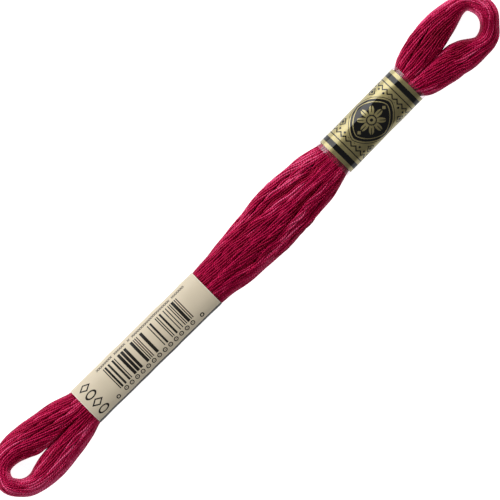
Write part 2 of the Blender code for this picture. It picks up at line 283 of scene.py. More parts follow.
# How the uppermost floss fans out from the bands to where the bundle is widest: place in millimetres,
# and how strongly it is drawn in towards the middle.
FAN = (
    (-34, 0), (-26, 0.05), (-18, 0.24), (-10, 0.22), (-4, 0.08), (4, 0), (10, 0.06),
    (16, 0.28), (22, 0.45), (30, 0.45), (38, 0.12), (44, 0),
)
UPPER_FROM = 0.0042
UPPER_DEPTH = 0.0025
STRAND_SIDES = 6
STRAND_LAY = 0.017
# Where the twist runs ahead and lags: how far, and the length over which it does.
LAY_WAVES = ((0.7, 0.031), (0.5, 0.0127))
# Five strands lie round the sixth: their distances from the middle of the thread, in strand radii.
STRAND_RING = (1.95, 1.8, 2.1, 1.85, 2.0, 0.2)
LARGEST_STRAND = 1.6
STRAND_PACKING = 0.98
THREAD_RADIUS = 0.00068
THREAD_PACKING = 0.80
# The columns of turns in a leg's section: their share across it, and the number of turns.
COLUMNS = ((0.10, 6), (0.31, 6), (0.53, 5), (0.74, 4), (0.91, 3))
# Where a turn lies in its leg's section, as shares of it: random scatter, its own slow wander across and
# in height, the wander that its column shares, and the margin that is kept clear.
SLOT_SCATTER = 0.02
WANDER_ACROSS = 0.07
WANDER_HEIGHT = 0.30
COLUMN_DRIFT = 0.14
SLOT_MARGIN = 0.02
# How far a turn strays from its place, at how many periods along it, and how near to the bands.
LOOSENESS = 0.0006
LOOSE_PERIODS = (9, 17, 26, 37)
STRAY_FROM = 0.0015
STRAY_REACH = 0.005
# How much less the floss is held in its place, and how much less it strays, round the eyes.
EYE_SHARE = 0.6

# How far apart the sections are, and over which lengths each leg gets a rounding and a side of its own.
STEP = 0.0009
HIDDEN_STEP = 0.0034
HIDDEN_MARGIN = 0.0030
LOOP_STATIONS_PER_ROW = 3
ROUNDING_BEFORE_CROTCH = 0.0135
ROUNDING_REACH = ROUNDING_BEFORE_CROTCH + 0.005
LOW_ROUNDING_AFTER_CROTCH = 0.008
PARTING_BEFORE_CROTCH = 0.0015
SEAM = -0.0343
SEAM_STATIONS = 8

# How turns and strands are pushed apart: the rounds, the share of an overlap that is cleared in one, the
# pull to the first place, the step away from the middle of the leg, the least depth under the surface,
# the pull to a straight run, and how many neighbours are looked at, or 0 for all.
THREAD_SETTINGS = (160, 0.45, 0.01, 0.000001, 0.00050, 0.35, 0)
STRAND_SETTINGS = (60, 0.4, 0.016, 0.000006, STRAND_RADIUS, 0.25, 14)
NEIGHBOUR_ROUNDS = 6
SPREAD_FROM = 0.2
SEED = 7


def smooth_curve(knots, values, at):
    """The values at places between the knots, on one smooth curve through all of them."""
    knots, values, at = (np.asarray(a, float) for a in (knots, values, at))
    slopes = np.gradient(values, knots)
    i = np.clip(np.searchsorted(knots, at, side="right") - 1, 0, len(knots) - 2)
    span = knots[i + 1] - knots[i]
    t = (at - knots[i]) / span
    return (
        (2 * t**3 - 3 * t**2 + 1) * values[i]
        + (t**3 - 2 * t**2 + t) * span * slopes[i]
        + (3 * t**2 - 2 * t**3) * values[i + 1]
        + (t**3 - t**2) * span * slopes[i + 1]
    )


def read_table(rows, columns, knots, at):
    """The columns of a table by name, at places between its rows."""
    return {name: smooth_curve(knots, rows[:, i], at) for i, name in enumerate(columns)}


def smoothstep(t):
    t = np.clip(t, 0, 1)
    return t * t * (3 - 2 * t)


class Stations:
    """The sections that one turn of the floss passes through, in order round the hank.

    origin: the inner edge of the leg's section, in plan. outwards: the direction across the leg, in plan.
    width: from the inner to the outer edge. base, crown: the section's underside and top.
    rounding: 0 where the leg is half of the bundle, 1 where it is an oval of its own round an eye.
    low_rounding: the same for the lower half of the section, which starts to round only past the crotch.
    parting: 0 where the floss of the two legs meets and mingles, 1 where each leg keeps to its own side.
    """

    FIELDS = ("origin", "outwards", "width", "base", "crown", "rounding", "low_rounding", "parting")

    def __init__(self, **fields):
        for name in self.FIELDS:
            setattr(self, name, fields[name])

    def __len__(self):
        return len(self.width)

    def part(self, index):
        return Stations(**{name: getattr(self, name)[index] for name in self.FIELDS})

    @classmethod
    def joined(cls, parts):
        return cls(**{name: np.concatenate([getattr(p, name) for p in parts]) for name in cls.FIELDS})

    @property
    def middle(self):
        return self.rounding * self.width / 2

    @property
    def middle_height(self):
        return (self.crown + self.base) / 2

    @property
    def half_height(self):
        return (self.crown - self.base) / 2

    @property
    def area(self):
        return SECTION_SHARE * self.width * (self.crown - np.maximum(self.base, 0))


def bundle_places():
    """Places along the bundle, close together where the floss shows and far apart inside the bands."""
    start, end = BUNDLE_ENDS
    places = [start]
    while places[-1] < end:
        hidden = any(
            band["start"] + HIDDEN_MARGIN < places[-1] < band["end"] - HIDDEN_MARGIN - HIDDEN_STEP
            for band in (PAPER_BAND, FILM_BAND)
        )
        places.append(places[-1] + (HIDDEN_STEP if hidden else STEP))
    places = np.array(places)
    return start + (places - start) * (end - start) / (places[-1] - start)


def leg_stations(places, side):
    section = read_table(BUNDLE, BUNDLE_COLUMNS, BUNDLE[:, 0], places)
    split = np.interp(places, BUNDLE_ENDS, (LEFT_LOOP[0, 3], RIGHT_LOOP[0, 3]))
    edge = section["left"] if side > 0 else section["right"]
    to_crotch = np.minimum(places - BUNDLE_ENDS[0], BUNDLE_ENDS[1] - places)
    return Stations(
        origin=np.stack([places, split], axis=1),
        outwards=np.tile([0.0, float(side)], (len(places), 1)),
        width=np.abs(edge - split),
        base=section["base"],
        crown=section["crown"],
        rounding=smoothstep((ROUNDING_BEFORE_CROTCH - to_crotch) / ROUNDING_REACH),
        low_rounding=np.zeros(len(places)),
        parting=smoothstep(1 - to_crotch / PARTING_BEFORE_CROTCH),
    )


def loop_stations(rows):
    count = (len(rows) - 1) * LOOP_STATIONS_PER_ROW
    at = np.arange(1, count) / LOOP_STATIONS_PER_ROW
    section = read_table(rows, LOOP_COLUMNS, np.arange(len(rows)), at)
    inner = np.stack([section["inner_x"], section["inner_y"]], axis=1)
    outer = np.stack([section["outer_x"], section["outer_y"]], axis=1)
    width = np.linalg.norm(outer - inner, axis=1)
    past_crotch = np.minimum(at, len(rows) - 1 - at) * LOOP_ROW_LENGTH
    return Stations(
        origin=inner,
        outwards=(outer - inner) / width[:, None],
        width=width,
        base=np.full(len(at), LOOP_BASE),
        crown=section["crown"],
        rounding=smoothstep((ROUNDING_BEFORE_CROTCH + past_crotch) / ROUNDING_REACH),
        low_rounding=smoothstep(past_crotch / LOW_ROUNDING_AFTER_CROTCH),
        parting=np.ones(len(at)),
    )


def turn_stations():
    """One whole turn, from the seam inside the paper band and back to it.

    Also returns the numbers of the stations where the +Y and the -Y leg pass the same place.
    """
    places = bundle_places()
    count = len(places)
    seam = int(np.argmin(np.abs(places - SEAM)))
    plus, minus = leg_stations(places, 1), leg_stations(places, -1)
    right, left = loop_stations(RIGHT_LOOP), loop_stations(LEFT_LOOP)
    numbers = np.arange(count)
    to_right, from_left = plus.part(numbers[seam:]), plus.part(numbers[:seam])
    back = minus.part(numbers[::-1])
    round_left = left.part(np.arange(len(left))[::-1])
    stations = Stations.joined([to_right, right, back, round_left, from_left])
    first_minus = count - seam + len(right)
    first_rest = first_minus + count + len(left)
    plus_at = np.where(numbers >= seam, numbers - seam, first_rest + numbers)
    minus_at = first_minus + count - 1 - numbers
    return stations, plus_at, minus_at


def contained(points, stations, inset):
    """The points (across, height) of each station, moved into its section and up from the surface."""
    centre = stations.middle_height[:, None]
    rounding = np.where(points[..., 1] > centre, stations.rounding[:, None], stations.low_rounding[:, None])
    parting = stations.parting[:, None]
    middle = np.maximum(rounding * stations.width[:, None] / 2, LEAST_MIDDLE * parting)
    half_height = stations.half_height[:, None] - inset
    out_width = stations.width[:, None] - middle - inset
    in_width = np.maximum(middle - inset, LEAST_INNER_ROOM - LEAST_INNER_ROOM / 2 * parting)
    across, up = points[..., 0] - middle, points[..., 1] - centre
    share = np.where(across > 0, across / out_width, across / in_width)
    reach = np.abs(share) ** SECTION_POWER + np.abs(up / half_height) ** SECTION_POWER
    reach = np.maximum(reach ** (1 / SECTION_POWER), 1)
    return np.stack([middle + across / reach, np.maximum(centre + up / reach, inset)], axis=-1)


def pushed_apart(points, radius, neighbours):
    """How far the circles of each station have to move to clear each other."""
    if neighbours is None:
        others = points[:, None, :, :]
    else:
        others = points[np.arange(len(points))[:, None, None], neighbours]
    apart = points[:, :, None, :] - others
    distance = np.sqrt((apart**2).sum(-1)) + 1e-9
    overlap = np.clip(2 * radius[:, None, None] - distance, 0, None)
    overlap = np.where(distance < 1e-8, 0, overlap)
    return (apart * (overlap / distance)[..., None]).sum(2) / 2


def nearest(points, count):
    squared = (points**2).sum(-1)
    distance = squared[:, :, None] + squared[:, None, :] - 2 * points @ points.transpose(0, 2, 1)
    return np.argpartition(distance, count, axis=2)[:, :, :count]


def both_legs(points, plus_at, minus_at):
    """The circles of the two legs side by side, for each place along the bundle."""
    return np.concatenate([points[plus_at], points[minus_at] * (-1, 1)], axis=1)


def relax(points, stations, legs, radius, settings):
    """Circles at each station pushed apart, held in the section, and smoothed along the floss."""
    rounds, push, pull, spread, inset, smoothing, neighbours = settings
    plus_at, minus_at = legs
    targets = points
    count = points.shape[1]
    in_eye = np.ones(len(stations), bool)
    in_eye[plus_at] = in_eye[minus_at] = False
    in_eye = np.flatnonzero(in_eye)
    pair_lists = eye_lists = None
    hold = pull * (1 - EYE_SHARE * stations.rounding)[:, None, None]
    centre = np.stack([stations.middle + stations.width * SPREAD_FROM, stations.middle_height], axis=1)
    for round_number in range(rounds):
        pair = both_legs(points, plus_at, minus_at)
        if neighbours and round_number % NEIGHBOUR_ROUNDS == 0:
            pair_lists, eye_lists = nearest(pair, neighbours), nearest(points[in_eye], neighbours)
        move = np.zeros_like(points)
        pair_move = pushed_apart(pair, radius[plus_at], pair_lists)
        move[plus_at] = pair_move[:, :count]
        move[minus_at] = pair_move[:, count:] * (-1, 1)
        move[in_eye] = pushed_apart(points[in_eye], radius[in_eye], eye_lists)
        points = points + push * move
        points += hold * (targets - points)
        away = points - centre[:, None, :]
        away /= np.linalg.norm(away, axis=-1, keepdims=True) + 1e-6
        points += spread * away
        points = smoothed(contained(points, stations, inset), stations, smoothing)
    return contained(points, stations, inset)


def smoothed(points, stations, share):
    """Each circle drawn towards the mean of the ones before and after it on the same thread or strand.

    It runs on from the last station of a turn to the first of the next.
    """
    scale = np.stack([stations.width, stations.crown - stations.base], axis=1)[:, None, :]
    middle = np.stack([stations.middle, stations.base], axis=1)[:, None, :]
    even = (points - middle) / scale
    count, circles, _ = even.shape
    in_turn = circles // TURNS
    run = even.reshape(count, TURNS, in_turn, 2).transpose(1, 0, 2, 3).reshape(-1, in_turn, 2)
    mean = run.copy()
    mean[1:-1] = (run[:-2] + run[2:]) / 2
    run = run + share * (mean - run)
    even = run.reshape(TURNS, count, in_turn, 2).transpose(1, 0, 2, 3).reshape(points.shape)
    return even * scale + middle


def first_slots(rng):
    """Where each turn lies in a leg's section: its share across, and its share of the half height."""
    slots = []
    for number, (across, count) in enumerate(COLUMNS):
        heights = (np.arange(count) + 0.5) / count * 2 - 1
        if number % 2:
            heights = heights[::-1]
        slots += [(across, h) for h in heights]
    return np.array(slots) + rng.normal(0, SLOT_SCATTER, (TURNS, 2))


def wandering(rng, along, count, all_periods=(1, 2, 3, 5, 8, 13, 21)):
    """Slow random waves along the whole turn, one column for each thread."""
    total = np.zeros((len(along), count))
    for periods in all_periods:
        phase = rng.uniform(0, math.tau, count)
        size = rng.normal(0, 1, count) / periods**0.5
        total += size * np.sin(math.tau * periods * along[:, None] + phase)
    return total / 2


def lay_threads(stations, legs):
    """The middle of each turn at each station: (station, turn, across and height)."""
    rng = np.random.default_rng(SEED)
    slots = first_slots(rng)
    along = np.arange(len(stations)) / len(stations)
    drift = np.repeat(wandering(rng, along, len(COLUMNS)), [count for _, count in COLUMNS], axis=1)
    drift *= 1 - stations.rounding[:, None]
    across = slots[:, 0] + WANDER_ACROSS * wandering(rng, along, TURNS) + COLUMN_DRIFT * drift
    height = slots[:, 1] + WANDER_HEIGHT * wandering(rng, along, TURNS)
    across = shift_at_seam(np.clip(across, SLOT_MARGIN, 1 - SLOT_MARGIN))
    height = shift_at_seam(np.clip(height, SLOT_MARGIN - 1, 1 - SLOT_MARGIN))
    room = (1 - across**SECTION_POWER) ** (1 / SECTION_POWER)
    up = stations.middle_height[:, None] + height * stations.half_height[:, None] * room
    points = np.stack([across * stations.width[:, None], up], axis=-1)
    packed = np.sqrt(THREAD_PACKING * stations.area / (TURNS * math.pi))
    radius = np.minimum(THREAD_RADIUS, packed)
    return relax(points, stations, legs, radius, THREAD_SETTINGS)


def shift_at_seam(values):
    """The last stations of each turn lead over to the place where the next turn starts."""
    follow = np.append(values[0, 1:], values[-1, -1])
    blend = smoothstep((np.arange(SEAM_STATIONS) + 1) / (SEAM_STATIONS + 1))[:, None]
    values = values.copy()
    values[-SEAM_STATIONS:] = values[-SEAM_STATIONS:] * (1 - blend) + follow * blend
    return values


def lay_strands(threads, stations, legs):
    """The middle of each strand at each station: (station, turn, strand, across and height)."""
    run = world_points(threads, stations).transpose(1, 0, 2).reshape(-1, 3)
    length = length_along(run)
    turn = length / STRAND_LAY * math.tau
    for size, reach in LAY_WAVES:
        turn = turn + size * np.sin(length / reach)
    turn = turn.reshape(TURNS, len(stations)).T
    ring = np.array(STRAND_RING) * STRAND_RADIUS
    angle = turn[..., None] + np.arange(STRANDS) * math.tau / (STRANDS - 1)
    offset = np.stack([np.cos(angle) * ring, np.sin(angle) * ring], axis=-1)
    points = (threads[:, :, None, :] + offset).reshape(len(stations), TURNS * STRANDS, 2)
    packed = np.sqrt(STRAND_PACKING * stations.area / (TURNS * STRANDS * math.pi))
    radius = np.minimum(STRAND_RADIUS * LARGEST_STRAND, packed)
    points = relax(points, stations, legs, radius, STRAND_SETTINGS)
    return points.reshape(len(stations), TURNS, STRANDS, 2)


def length_along(points):
    """The length of a line of points from its start to each of them."""
    return np.concatenate([[0], np.cumsum(np.linalg.norm(np.diff(points, axis=0), axis=1))])


def add_object(name, data):
    obj = bpy.data.objects.new(name, data)
    bpy.context.scene.collection.objects.link(obj)
    return obj


def world_points(points, stations):
    """Points (across, height) of each station, in the frame of the model."""
    extra = (1,) * (points.ndim - 2)
    origin = stations.origin.reshape(len(stations), *extra, 2)
    outwards = stations.outwards.reshape(len(stations), *extra, 2)
    plan = origin + outwards * points[..., :1]
    return np.concatenate([plan, points[..., 1:]], axis=-1)


def tube_mesh(name, path, radius, tone):
    """A closed tube along the path, with a UV map: the share round it, and the centimetres along it."""
    count = len(path)
    tangent = np.gradient(path, axis=0)
    tangent /= np.linalg.norm(tangent, axis=1, keepdims=True)
    side = np.cross((0, 0, 1), tangent)
    side /= np.linalg.norm(side, axis=1, keepdims=True)
    up = np.cross(tangent, side)
    length = length_along(path)
    angle = np.arange(STRAND_SIDES) * math.tau / STRAND_SIDES
    ring = (
        path[:, None, :]
        + radius[:, None, None] * np.cos(angle)[None, :, None] * side[:, None, :]
        + radius[:, None, None] * np.sin(angle)[None, :, None] * up[:, None, :]
    )
    numbers = np.arange(count * STRAND_SIDES).reshape(count, STRAND_SIDES)
    turned = np.roll(numbers, -1, axis=1)
    quads = np.stack([numbers[:-1], turned[:-1], turned[1:], numbers[1:]], axis=-1).reshape(-1, 4)
    here = np.arange(STRAND_SIDES)
    around = np.stack([here, here + 1, here + 1, here], axis=-1) / STRAND_SIDES
    along = np.stack([length[:-1], length[:-1], length[1:], length[1:]], axis=-1)[:, None, :]
    around, along = np.broadcast_arrays(around, along)
    mesh = bpy.data.meshes.new(name)
    mesh.vertices.add(count * STRAND_SIDES)
    mesh.vertices.foreach_set("co", ring.ravel())
    corners = np.concatenate([quads.ravel(), numbers[0, ::-1], numbers[-1]])
    mesh.loops.add(len(corners))
    mesh.loops.foreach_set("vertex_index", corners)
    sizes = np.repeat([4, STRAND_SIDES], [len(quads), 2])
    mesh.polygons.add(len(sizes))
    mesh.polygons.foreach_set("loop_start", np.cumsum(sizes) - sizes)
    mesh.polygons.foreach_set("use_smooth", np.ones(len(sizes), bool))
    uv = mesh.uv_layers.new(name="floss")
    flat = np.stack([around.ravel(), along.ravel() * 100], axis=-1)
    uv.data.foreach_set("uv", np.concatenate([flat, np.zeros((2 * STRAND_SIDES, 2))]).ravel())
    shade = mesh.attributes.new("tone", "FLOAT", "POINT")
    shade.data.foreach_set("value", np.repeat(tone, STRAND_SIDES))
    mesh.update(calc_edges=True)
    mesh.validate()
    return mesh


def room_to_stray(stations):
    """0 inside a band and close to it, 1 where the floss can stray."""
    x = stations.origin[:, 0]
    room = np.ones(len(x))
    for band in (PAPER_BAND, FILM_BAND):
        away = np.maximum(band["start"] - x, x - band["end"])
        room = np.minimum(room, smoothstep((away - STRAY_FROM) / STRAY_REACH))
    return room


def uppermost(z):
    """0 in the lower half of the bundle, 1 near its top."""
    return smoothstep((z - UPPER_FROM) / UPPER_DEPTH)


def fan_out(world, stations):
    """Draw the floss near the top in towards the middle of the bundle, most beside the bands."""
    x, y = world[..., 0], world[..., 1]
    split = stations.origin[:, 1][:, None, None]
    width = stations.width[:, None, None]
    places, amounts = np.array(FAN).T
    knots = metres(places)
    amount = smooth_curve(knots, amounts, np.clip(x, knots[0], knots[-1]))
    share = np.clip(np.abs(y - split) / width, 0, 1)
    drawn_in = width * amount * share * (1 - share) * uppermost(world[..., 2])
    world[..., 1] = y - np.sign(y - split) * drawn_in


def valleys(x, y):
    """How far the floss sinks along the valleys, and how much of it lies on their shoulders."""
    sunk, beside = np.zeros_like(x), np.zeros_like(x)
    for line in VALLEYS:
        knots, middles, depths = metres(line).T
        at = np.clip(x, knots[0], knots[-1])
        away = np.abs(y - smooth_curve(knots, middles, at))
        depth = smooth_curve(knots, depths, at)
        sunk += depth * np.exp(-((away / VALLEY_REACH) ** 2))
        beside += depth * np.exp(-(((away - SHOULDER) / VALLEY_REACH) ** 2))
    return sunk, beside


def uneven(rng, count, spacing, size):
    """Random values, one for every few stations, joined by straight lines."""
    spots = np.arange(0, count + spacing, spacing)
    return np.interp(np.arange(count), spots, rng.uniform(-size, size, len(spots)))


def make_floss(material):
    stations, *legs = turn_stations()
    threads = lay_threads(stations, legs)
    strands = lay_strands(threads, stations, legs)
    rng = np.random.default_rng(SEED + 2)
    along = np.arange(len(stations)) / len(stations)
    loose = LOOSENESS * wandering(rng, along, TURNS, LOOSE_PERIODS)[..., None]
    room = room_to_stray(stations) * (1 - stations.parting) * (1 - EYE_SHARE * stations.rounding)
    loose *= room[:, None, None]
    strands[..., 0] += loose
    strands[..., 1] += np.abs(loose)
    world = world_points(strands, stations)
    fan_out(world, stations)
    upper = uppermost(world[..., 2])
    sunk, beside = (amount * upper for amount in valleys(world[..., 0], world[..., 1]))
    world[..., 2] -= sunk
    # Painted shade along the valleys and painted light on their shoulders, as a change of tone.
    shade = SHOULDER_LIGHT * beside - VALLEY_SHADE * sunk
    count = TURNS * len(stations)
    sheen = uneven(rng, count, *SHEEN)
    for number in range(STRANDS):
        path = world[:, :, number].transpose(1, 0, 2).reshape(-1, 3)
        radius = TUBE_RADIUS * (1 + WIDTH_SHARE * uneven(rng, count, *UNEVEN_WIDTH))
        tone = sheen + np.repeat(rng.uniform(*TONE_OF_TURN, TURNS), len(stations))
        tone += shade[:, :, number].T.ravel()
        tone += uneven(rng, count, *UNEVEN_TONE)
        x, y = path[:, 0], path[:, 1]
        # Painted light and shade from the soft spots, added to the tone.
        for *spot, amount in PAINTED_LIGHT_AND_SHADE_SPOTS:
            spot_x, spot_y, reach_x, reach_y = metres(spot)
            tone += amount * np.exp(-(((x - spot_x) / reach_x) ** 2) - ((y - spot_y) / reach_y) ** 2)
        tone = np.minimum(tone, HIGHEST_TONE)
        name = f"floss_strand_{number + 1}"
        strand = add_object(name, tube_mesh(name, path, radius, tone))
        strand.data.materials.append(material)
        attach(strand, "root")
        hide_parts("skein")


# ---- Sleeves of sheet ----


def outline_of_band():
    """The oval round a band, anticlockwise from its underside seam: points, and the length along it."""
    angle = np.radians(SEAM_ANGLE) + np.linspace(0, math.tau, OUTLINE_POINTS)
    circle = np.stack([np.cos(angle), np.sin(angle)], axis=1)
    oval = np.sign(circle) * np.abs(circle) ** (2 / BAND_SECTION_POWER)
    points = oval * (BAND_WIDTH, BAND_HEIGHT) / 2
    return points, length_along(points)


def uneven_surface(along, around, waves):
    """How far a sleeve stands off its oval: a sum of slow waves along and round it."""
    return sum(
        size * np.sin(math.tau * (periods_along * along + periods_around * around) + phase)
        for size, periods_along, periods_around, phase in waves
    )


def make_sleeve(name, band, thickness, waves, rows):
    """A strip of sheet wrapped round the floss, its end lapped over its start on the underside.

    Its UV map holds millimetres: along the band from its middle, and round it from its crown.
    """
    outline, length = outline_of_band()
    around = length[-1]
    crown = length[np.argmax(outline[:, 1])]
    s = np.linspace(0, around + LAP, SLEEVE_STATIONS)

    def on_outline(at):
        return np.stack([np.interp(np.mod(at, around), length, side) for side in outline.T], axis=1)

    direction = on_outline(s + NORMAL_REACH) - on_outline(s - NORMAL_REACH)
    normal = np.stack([direction[:, 1], -direction[:, 0]], axis=1)
    normal /= np.linalg.norm(normal, axis=1, keepdims=True)
    lift = (thickness + LAP_GAP) * smoothstep((s - (around - LAP_RISE)) / LAP_RISE)

    middle, half_length = (band["start"] + band["end"]) / 2, (band["end"] - band["start"]) / 2
    turn = math.radians(band["turn"])
    x, s = np.meshgrid(half_length * rows, s, indexing="ij")
    off_oval = lift + uneven_surface(x / half_length / 2, np.mod(s, around) / around, waves)
    sides = []
    for depth in (0.0, thickness):
        y, z = np.moveaxis(on_outline(s[0]) + normal * (off_oval - depth)[..., None], -1, 0)
        placed_x = middle + x * math.cos(turn) - y * math.sin(turn)
        placed_y = band["y"] + x * math.sin(turn) + y * math.cos(turn)
        sides.append(np.stack([placed_x, placed_y, band["z"] + z], axis=-1))
    return add_object(name, sheet_mesh(name, np.stack(sides), np.stack([x, crown - s], axis=-1)))


def sheet_mesh(name, points, flat):
    """A closed sheet from the grids of points of its outer and its inner side, with its UV map."""
    outer, inner = np.arange(points[..., 0].size).reshape(points.shape[:3])
    edges = (
        (inner[0], outer[0]), (outer[-1], inner[-1]),
        (outer[:, 0], inner[:, 0]), (inner[:, -1], outer[:, -1]),
    )
    faces = [grid_faces(grid) for grid in (outer.T, inner, *map(np.stack, edges))]
    mesh = bpy.data.meshes.new(name)
    mesh.from_pydata(points.reshape(-1, 3).tolist(), [], np.concatenate(faces).tolist())
    uv = mesh.uv_layers.new(name="print")
    corners = np.empty(len(mesh.loops), np.int32)
    mesh.loops.foreach_get("vertex_index", corners)
    both = np.stack([flat, flat]).reshape(-1, 2) * 1000
    uv.data.foreach_set("uv", both[corners].ravel())
    mesh.polygons.foreach_set("use_smooth", np.ones(len(mesh.polygons), bool))
    mesh.update()
    mesh.set_sharp_from_angle(angle=math.radians(SHARP_EDGE))
    return mesh


def grid_faces(numbers):
    corners = [numbers[:-1, :-1], numbers[1:, :-1], numbers[1:, 1:], numbers[:-1, 1:]]
    return np.stack(corners, axis=-1).reshape(-1, 4)


def make_paper_band():
    rows = np.linspace(-1, 1, PAPER_ROWS)
    band = make_sleeve("paper_label", PAPER_BAND, PAPER_THICKNESS, PAPER_WAVES, rows)
    band.data.materials.append(paper_material())
    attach(band, "root")
    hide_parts("paper_band")


def make_film_band():
    half = (FILM_BAND["end"] - FILM_BAND["start"]) / 2 * 1000
    first, last = FILM_PRINT[0] / half, FILM_PRINT[1] / half
    rows = np.concatenate([[-1, (first - 1) / 2], np.linspace(first, last, FILM_ROWS), [(1 + last) / 2, 1]])
    band = make_sleeve("film_wrap", FILM_BAND, FILM_THICKNESS, FILM_WAVES, rows)
    band.data.materials.append(film_material())
    band.data.materials.append(clear_film_material())
    uv = band.data.uv_layers["print"].data
    for face in band.data.polygons:
        x = sum(uv[corner].uv.x for corner in face.loop_indices) / len(face.loop_indices)
        face.material_index = int(not FILM_PRINT[0] < x < FILM_PRINT[1])
    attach(band, "root")
    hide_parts("film_band")


# ---- Materials ----


def worked_out(operation):
    """A method that adds one Math node."""
    return lambda self, *others: self.math(operation, *others)


class Number:
    """A value worked out at each point of a surface, by Math nodes."""

    def __init__(self, tree, socket):
        self.tree, self.socket = tree, socket

    def math(self, operation, *others):
        node = self.tree.nodes.new("ShaderNodeMath")
        node.operation = operation
        for socket, value in zip(node.inputs, (self, *others)):
            if isinstance(value, Number):
                self.tree.links.new(value.socket, socket)
            else:
                socket.default_value = value
        return Number(self.tree, node.outputs[0])

    __add__ = worked_out("ADD")
    __sub__ = worked_out("SUBTRACT")
    __mul__ = both = worked_out("MULTIPLY")
    __truediv__ = worked_out("DIVIDE")
    __pow__ = worked_out("POWER")
    __abs__ = worked_out("ABSOLUTE")
    sine = worked_out("SINE")
    under = worked_out("LESS_THAN")
    over = worked_out("GREATER_THAN")
    either = worked_out("MAXIMUM")

    def outside(self, other):
        """This mask, less the other one."""
        return self.math("SUBTRACT", other).math("MAXIMUM", 0.0)

    def near(self, value, reach):
        return abs(self - value).under(reach)

    def hypot(self, other):
        return (self**2 + other**2) ** 0.5

    def between(self, low, high):
        return self.over(low).both(self.under(high))

    def repeated(self, period):
        """The distance from the nearest multiple of the period."""
        return self.math("WRAP", period / 2, -period / 2)

    def step(self, period):
        """The number of the period that this lies in."""
        return (self / period).math("FLOOR")


class Paint:
    """A material's node tree, with short ways to add nodes to it."""

    def __init__(self, name):
        self.material = bpy.data.materials.new(name)
        self.material.use_nodes = True
        self.tree = self.material.node_tree
        self.shader = self.tree.nodes["Principled BSDF"]

    def node(self, kind):
        return self.tree.nodes.new("ShaderNode" + kind)

    def number(self, socket):
        return Number(self.tree, socket)

    def link(self, source, target):
        self.tree.links.new(source.socket if isinstance(source, Number) else source, target)

    def feed(self, source, target):
        """A socket's value: a fixed number or colour, or one that is worked out."""
        if isinstance(source, (float, tuple)):
            target.default_value = (*source, 1) if isinstance(source, tuple) else source
        else:
            self.link(source, target)

    def set(self, **values):
        for name, value in values.items():
            self.feed(value, self.shader.inputs[name.replace("_", " ")])

    def uv(self, name):
        """The two numbers of a UV map."""
        node = self.node("UVMap")
        node.uv_map = name
        split = self.node("SeparateXYZ")
        self.link(node.outputs[0], split.inputs[0])
        return self.number(split.outputs[0]), self.number(split.outputs[1])

    def vector(self, *parts):
        node = self.node("CombineXYZ")
        for socket, part in zip(node.inputs, parts):
            self.feed(part, socket)
        return node.outputs[0]

    def noise(self, vector, scale=1.0, detail=2.0, roughness=0.5):
        node = self.node("TexNoise")
        node.inputs["Scale"].default_value = scale
        node.inputs["Detail"].default_value = detail
        node.inputs["Roughness"].default_value = roughness
        self.link(vector, node.inputs["Vector"])
        return self.number(node.outputs[0])

    def white(self, number, seed):
        """A random value for each whole number."""
        node = self.node("TexWhiteNoise")
        node.noise_dimensions = "1D"
        self.link(number + seed, node.inputs["W"])
        return self.number(node.outputs[0])

    def mix(self, share, first, second):
        """From the first colour to the second, by the share."""
        node = self.node("Mix")
        node.data_type = "RGBA"
        node.clamp_factor = True
        self.link(share, node.inputs["Factor"])
        colours = [socket for socket in node.inputs if socket.type == "RGBA"]
        for colour, socket in zip((first, second), colours):
            self.feed(colour, socket)
        return next(socket for socket in node.outputs if socket.type == "RGBA")

    def bump(self, height, distance, strength=1.0):
        node = self.node("Bump")
        node.inputs["Distance"].default_value = distance
        node.inputs["Strength"].default_value = strength
        self.link(height, node.inputs["Height"])
        self.link(node.outputs[0], self.shader.inputs["Normal"])


def floss_material():
    """Lustrous cotton: two plies twisted together with painted shade in their grooves, fine fibres along
    them, and a slow drift of the dye.
    """
    paint = Paint("floss")
    share, length = paint.uv("floss")
    tone = paint.node("Attribute")
    tone.attribute_name = "tone"
    tone = paint.number(tone.outputs["Fac"])
    twist = share * 2 + length / PLY_LAY
    ply = abs((twist * math.pi).sine())
    fibres = paint.noise(paint.vector(share * 9 + length * 4, length * 3.0, tone * 40), detail=3)
    patches = paint.noise(paint.vector(length * 0.9, tone * 60, 0.0), detail=1)
    # The tone carries painted light and shade, and the plies paint shade into their grooves.
    light = tone * TONE_LIGHT + fibres * FIBRE_LIGHT + ply * PLY_PAINTED_SHADE + patches * DYE_LIGHT - DARKENING
    light = light.math("MAXIMUM", 0.0) ** CONTRAST
    dyed = paint.mix(light * 2, DEEP_FLOSS, MIDDLE_FLOSS)
    dyed = paint.mix(light * 2 - 1, dyed, BRIGHT_FLOSS)
    paint.set(Base_Color=dyed, Roughness=patches * DRIFT_ROUGHNESS + SMOOTHEST)
    paint.bump(ply + fibres * FIBRE_DEPTH, PLY_DEPTH)
    paint.set(Metallic=0.5, Specular_IOR_Level=0.4, Specular_Tint=(1.0, 0.50, 0.75))
    return paint.material


